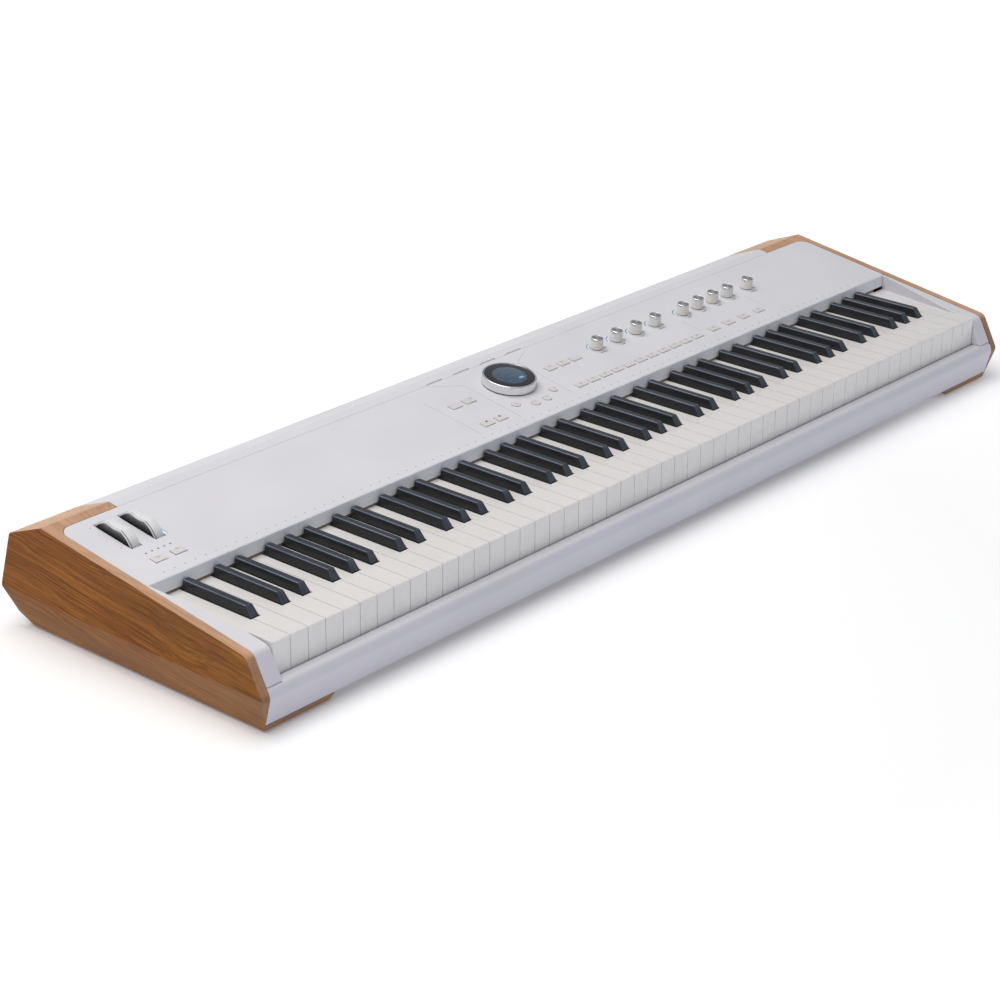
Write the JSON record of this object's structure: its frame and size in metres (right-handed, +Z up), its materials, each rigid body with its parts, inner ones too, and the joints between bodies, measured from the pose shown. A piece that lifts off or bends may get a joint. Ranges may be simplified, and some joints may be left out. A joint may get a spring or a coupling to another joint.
{
  "type": "stage piano",
  "caption": "Stage piano with weighted keys between wooden end cheeks, under a sloping white panel with a display encoder, knobs, buttons and pitch and modulation wheels.",
  "frame": {"origin": "middle of the footprint, on the surface that the feet stand on", "axes": "+X to the player's right along the keys, +Y to the back, away from the player, +Z up"},
  "size_m": [1.2856, 0.3784, 0.1306],
  "materials": {
    "wood": "satin lacquered light brown wood with flowing grain",
    "white_housing": "cool off-white satin moulding",
    "white_key": "warm white moulded keys with a soft gloss",
    "black_key": "dark satin moulded keys",
    "button_plastic": "warm white satin button caps",
    "knob_plastic": "off-white satin knobs and wheels",
    "ring_metal": "silver ring with a polished edge",
    "display_lens": "black bezel with a dark blue round screen",
    "black_plastic": "fine textured black moulding",
    "chassis_steel": "plain folded steel sheet",
    "felt": "brown felt strip",
    "circuit_board": "green circuit board",
    "foot_rubber": "black rubber"
  },
  "bodies": {
    "case": {"left_cheek": "wood", "right_cheek": "wood", "front_left_foot": "foot_rubber", "rear_left_foot": "foot_rubber", "front_right_foot": "foot_rubber", "rear_right_foot": "foot_rubber", "left_key_block": "white_housing", "right_key_block": "white_housing", "front_rail": "white_housing", "bottom_tray": "chassis_steel", "key_frame": "chassis_steel", "rear_plate": "white_housing", "connector_block": "black_plastic", "top_panel": "white_housing", "rear_cover": "white_housing", "key_felt": "felt", "control_board": "circuit_board", "wheel_bracket": "chassis_steel"},
    "display": {"display": "display_lens"},
    "display_ring": {"display_ring": "ring_metal"},
    "pitch_wheel": {"pitch_wheel": "knob_plastic"},
    "modulation_wheel": {"modulation_wheel": "knob_plastic"},
    "knob_9": {"knob_9": "knob_plastic"},
    "mode_buttons": {"mode_buttons": "button_plastic"},
    "bank_buttons": {"bank_buttons": "button_plastic"},
    "menu_buttons": {"menu_buttons": "button_plastic"},
    "octave_buttons": {"octave_buttons": "button_plastic"},
    "layer_buttons": {"layer_buttons": "button_plastic"},
    "transport_buttons": {"transport_buttons": "button_plastic"},
    "function_buttons": {"function_buttons": "button_plastic"},
    "power_button": {"power_button": "black_plastic"},
    "c_e_g_b_keys_1": {"c_e_g_b_keys_1": "white_key"},
    "d_f_a_keys_1": {"d_f_a_keys_1": "white_key"},
    "black_keys_1": {"black_keys_1": "black_key"},
    "c_e_g_b_keys_4": {"c_e_g_b_keys_4": "white_key"},
    "d_f_a_keys_4": {"d_f_a_keys_4": "white_key"},
    "black_keys_4": {"black_keys_4": "black_key"},
    "c_e_g_b_keys_7": {"c_e_g_b_keys_7": "white_key"},
    "d_f_a_keys_7": {"d_f_a_keys_7": "white_key"},
    "black_keys_7": {"black_keys_7": "black_key"},
    "knob_1": {"knob_1": "knob_plastic"},
    "knob_2": {"knob_2": "knob_plastic"},
    "knob_3": {"knob_3": "knob_plastic"},
    "knob_4": {"knob_4": "knob_plastic"},
    "knob_5": {"knob_5": "knob_plastic"},
    "knob_6": {"knob_6": "knob_plastic"},
    "knob_7": {"knob_7": "knob_plastic"},
    "knob_8": {"knob_8": "knob_plastic"},
    "c_e_g_b_keys_2": {"c_e_g_b_keys_2": "white_key"},
    "d_f_a_keys_2": {"d_f_a_keys_2": "white_key"},
    "black_keys_2": {"black_keys_2": "black_key"},
    "c_e_g_b_keys_3": {"c_e_g_b_keys_3": "white_key"},
    "d_f_a_keys_3": {"d_f_a_keys_3": "white_key"},
    "black_keys_3": {"black_keys_3": "black_key"},
    "c_e_g_b_keys_5": {"c_e_g_b_keys_5": "white_key"},
    "d_f_a_keys_5": {"d_f_a_keys_5": "white_key"},
    "black_keys_5": {"black_keys_5": "black_key"},
    "c_e_g_b_keys_6": {"c_e_g_b_keys_6": "white_key"},
    "d_f_a_keys_6": {"d_f_a_keys_6": "white_key"},
    "black_keys_6": {"black_keys_6": "black_key"}
  },
  "joints": [
    {"name": "display_press", "type": "slide", "parent": "case", "child": "display", "axis": [0, 0.1473, -0.9891], "range_m": [0, 0.0008], "stiffness_N_per_m": 3000, "springref_m": -0.001},
    {"name": "display_ring_turn", "type": "hinge", "parent": "display", "child": "display_ring", "pos_m": [-0.0153, 0.05683, 0.11475], "axis": [0, -0.1473, 0.9891], "continuous": true},
    {"name": "pitch_wheel_turn", "type": "hinge", "parent": "case", "child": "pitch_wheel", "pos_m": [-0.591, 0.06895, 0.09563], "axis": [1, 0, 0], "range_deg": [-23, 23], "stiffness_Nm_per_rad": 0.2},
    {"name": "modulation_wheel_turn", "type": "hinge", "parent": "case", "child": "modulation_wheel", "pos_m": [-0.5598, 0.06895, 0.09563], "axis": [1, 0, 0], "range_deg": [-23, 23]},
    {"name": "knob_9_turn", "type": "hinge", "parent": "case", "child": "knob_9", "pos_m": [0.44031, 0.05781, 0.1149], "axis": [0, -0.1473, 0.9891], "range_deg": [-150, 150]},
    {"name": "mode_buttons_press", "type": "slide", "parent": "case", "child": "mode_buttons", "axis": [0, 0.1473, -0.9891], "range_m": [0, 0.001], "stiffness_N_per_m": 1500, "springref_m": -0.001},
    {"name": "bank_buttons_press", "type": "slide", "parent": "case", "child": "bank_buttons", "axis": [0, 0.1473, -0.9891], "range_m": [0, 0.001], "stiffness_N_per_m": 1500, "springref_m": -0.001},
    {"name": "menu_buttons_press", "type": "slide", "parent": "case", "child": "menu_buttons", "axis": [0, 0.1473, -0.9891], "range_m": [0, 0.001], "stiffness_N_per_m": 1500, "springref_m": -0.001},
    {"name": "octave_buttons_press", "type": "slide", "parent": "case", "child": "octave_buttons", "axis": [0, 0.1473, -0.9891], "range_m": [0, 0.001], "stiffness_N_per_m": 1500, "springref_m": -0.001},
    {"name": "layer_buttons_press", "type": "slide", "parent": "case", "child": "layer_buttons", "axis": [0, 0.1473, -0.9891], "range_m": [0, 0.001], "stiffness_N_per_m": 1500, "springref_m": -0.001},
    {"name": "transport_buttons_press", "type": "slide", "parent": "case", "child": "transport_buttons", "axis": [0, 0.1473, -0.9891], "range_m": [0, 0.001], "stiffness_N_per_m": 1500, "springref_m": -0.001},
    {"name": "function_buttons_press", "type": "slide", "parent": "case", "child": "function_buttons", "axis": [0, 0.1473, -0.9891], "range_m": [0, 0.001], "stiffness_N_per_m": 1500, "springref_m": -0.001},
    {"name": "power_button_press", "type": "slide", "parent": "case", "child": "power_button", "axis": [0, -1, 0], "range_m": [0, 0.002], "stiffness_N_per_m": 800, "springref_m": -0.001},
    {"name": "c_e_g_b_keys_1_dip", "type": "hinge", "parent": "case", "child": "c_e_g_b_keys_1", "pos_m": [0, 0.076, 0.076], "axis": [1, 0, 0], "range_deg": [0, 2.31], "stiffness_Nm_per_rad": 3, "springref_deg": -14.32},
    {"name": "d_f_a_keys_1_dip", "type": "hinge", "parent": "case", "child": "d_f_a_keys_1", "pos_m": [0, 0.076, 0.076], "axis": [1, 0, 0], "range_deg": [0, 2.31], "stiffness_Nm_per_rad": 3, "springref_deg": -14.32},
    {"name": "black_keys_1_dip", "type": "hinge", "parent": "case", "child": "black_keys_1", "pos_m": [0, 0.076, 0.076], "axis": [1, 0, 0], "range_deg": [0, 2.31], "stiffness_Nm_per_rad": 3, "springref_deg": -14.32},
    {"name": "c_e_g_b_keys_4_dip", "type": "hinge", "parent": "case", "child": "c_e_g_b_keys_4", "pos_m": [0, 0.076, 0.076], "axis": [1, 0, 0], "range_deg": [0, 2.31], "stiffness_Nm_per_rad": 3, "springref_deg": -14.32},
    {"name": "d_f_a_keys_4_dip", "type": "hinge", "parent": "case", "child": "d_f_a_keys_4", "pos_m": [0, 0.076, 0.076], "axis": [1, 0, 0], "range_deg": [0, 2.31], "stiffness_Nm_per_rad": 3, "springref_deg": -14.32},
    {"name": "black_keys_4_dip", "type": "hinge", "parent": "case", "child": "black_keys_4", "pos_m": [0, 0.076, 0.076], "axis": [1, 0, 0], "range_deg": [0, 2.31], "stiffness_Nm_per_rad": 3, "springref_deg": -14.32},
    {"name": "c_e_g_b_keys_7_dip", "type": "hinge", "parent": "case", "child": "c_e_g_b_keys_7", "pos_m": [0, 0.076, 0.076], "axis": [1, 0, 0], "range_deg": [0, 2.31], "stiffness_Nm_per_rad": 3, "springref_deg": -14.32},
    {"name": "d_f_a_keys_7_dip", "type": "hinge", "parent": "case", "child": "d_f_a_keys_7", "pos_m": [0, 0.076, 0.076], "axis": [1, 0, 0], "range_deg": [0, 2.31], "stiffness_Nm_per_rad": 3, "springref_deg": -14.32},
    {"name": "black_keys_7_dip", "type": "hinge", "parent": "case", "child": "black_keys_7", "pos_m": [0, 0.076, 0.076], "axis": [1, 0, 0], "range_deg": [0, 2.31], "stiffness_Nm_per_rad": 3, "springref_deg": -14.32},
    {"name": "knob_1_turn", "type": "hinge", "parent": "case", "child": "knob_1", "pos_m": [0.14288, 0.05781, 0.1149], "axis": [0, -0.1473, 0.9891], "continuous": true},
    {"name": "knob_2_turn", "type": "hinge", "parent": "case", "child": "knob_2", "pos_m": [0.17968, 0.05781, 0.1149], "axis": [0, -0.1473, 0.9891], "continuous": true},
    {"name": "knob_3_turn", "type": "hinge", "parent": "case", "child": "knob_3", "pos_m": [0.21647, 0.05781, 0.1149], "axis": [0, -0.1473, 0.9891], "continuous": true},
    {"name": "knob_4_turn", "type": "hinge", "parent": "case", "child": "knob_4", "pos_m": [0.25327, 0.05781, 0.1149], "axis": [0, -0.1473, 0.9891], "continuous": true},
    {"name": "knob_5_turn", "type": "hinge", "parent": "case", "child": "knob_5", "pos_m": [0.30838, 0.05781, 0.1149], "axis": [0, -0.1473, 0.9891], "continuous": true},
    {"name": "knob_6_turn", "type": "hinge", "parent": "case", "child": "knob_6", "pos_m": [0.3385, 0.05781, 0.1149], "axis": [0, -0.1473, 0.9891], "continuous": true},
    {"name": "knob_7_turn", "type": "hinge", "parent": "case", "child": "knob_7", "pos_m": [0.36861, 0.05781, 0.1149], "axis": [0, -0.1473, 0.9891], "continuous": true},
    {"name": "knob_8_turn", "type": "hinge", "parent": "case", "child": "knob_8", "pos_m": [0.39873, 0.05781, 0.1149], "axis": [0, -0.1473, 0.9891], "continuous": true},
    {"name": "c_e_g_b_keys_2_dip", "type": "hinge", "parent": "case", "child": "c_e_g_b_keys_2", "pos_m": [0, 0.076, 0.076], "axis": [1, 0, 0], "range_deg": [0, 2.31], "stiffness_Nm_per_rad": 3, "springref_deg": -14.32},
    {"name": "d_f_a_keys_2_dip", "type": "hinge", "parent": "case", "child": "d_f_a_keys_2", "pos_m": [0, 0.076, 0.076], "axis": [1, 0, 0], "range_deg": [0, 2.31], "stiffness_Nm_per_rad": 3, "springref_deg": -14.32},
    {"name": "black_keys_2_dip", "type": "hinge", "parent": "case", "child": "black_keys_2", "pos_m": [0, 0.076, 0.076], "axis": [1, 0, 0], "range_deg": [0, 2.31], "stiffness_Nm_per_rad": 3, "springref_deg": -14.32},
    {"name": "c_e_g_b_keys_3_dip", "type": "hinge", "parent": "case", "child": "c_e_g_b_keys_3", "pos_m": [0, 0.076, 0.076], "axis": [1, 0, 0], "range_deg": [0, 2.31], "stiffness_Nm_per_rad": 3, "springref_deg": -14.32},
    {"name": "d_f_a_keys_3_dip", "type": "hinge", "parent": "case", "child": "d_f_a_keys_3", "pos_m": [0, 0.076, 0.076], "axis": [1, 0, 0], "range_deg": [0, 2.31], "stiffness_Nm_per_rad": 3, "springref_deg": -14.32},
    {"name": "black_keys_3_dip", "type": "hinge", "parent": "case", "child": "black_keys_3", "pos_m": [0, 0.076, 0.076], "axis": [1, 0, 0], "range_deg": [0, 2.31], "stiffness_Nm_per_rad": 3, "springref_deg": -14.32},
    {"name": "c_e_g_b_keys_5_dip", "type": "hinge", "parent": "case", "child": "c_e_g_b_keys_5", "pos_m": [0, 0.076, 0.076], "axis": [1, 0, 0], "range_deg": [0, 2.31], "stiffness_Nm_per_rad": 3, "springref_deg": -14.32},
    {"name": "d_f_a_keys_5_dip", "type": "hinge", "parent": "case", "child": "d_f_a_keys_5", "pos_m": [0, 0.076, 0.076], "axis": [1, 0, 0], "range_deg": [0, 2.31], "stiffness_Nm_per_rad": 3, "springref_deg": -14.32},
    {"name": "black_keys_5_dip", "type": "hinge", "parent": "case", "child": "black_keys_5", "pos_m": [0, 0.076, 0.076], "axis": [1, 0, 0], "range_deg": [0, 2.31], "stiffness_Nm_per_rad": 3, "springref_deg": -14.32},
    {"name": "c_e_g_b_keys_6_dip", "type": "hinge", "parent": "case", "child": "c_e_g_b_keys_6", "pos_m": [0, 0.076, 0.076], "axis": [1, 0, 0], "range_deg": [0, 2.31], "stiffness_Nm_per_rad": 3, "springref_deg": -14.32},
    {"name": "d_f_a_keys_6_dip", "type": "hinge", "parent": "case", "child": "d_f_a_keys_6", "pos_m": [0, 0.076, 0.076], "axis": [1, 0, 0], "range_deg": [0, 2.31], "stiffness_Nm_per_rad": 3, "springref_deg": -14.32},
    {"name": "black_keys_6_dip", "type": "hinge", "parent": "case", "child": "black_keys_6", "pos_m": [0, 0.076, 0.076], "axis": [1, 0, 0], "range_deg": [0, 2.31], "stiffness_Nm_per_rad": 3, "springref_deg": -14.32}
  ]
}
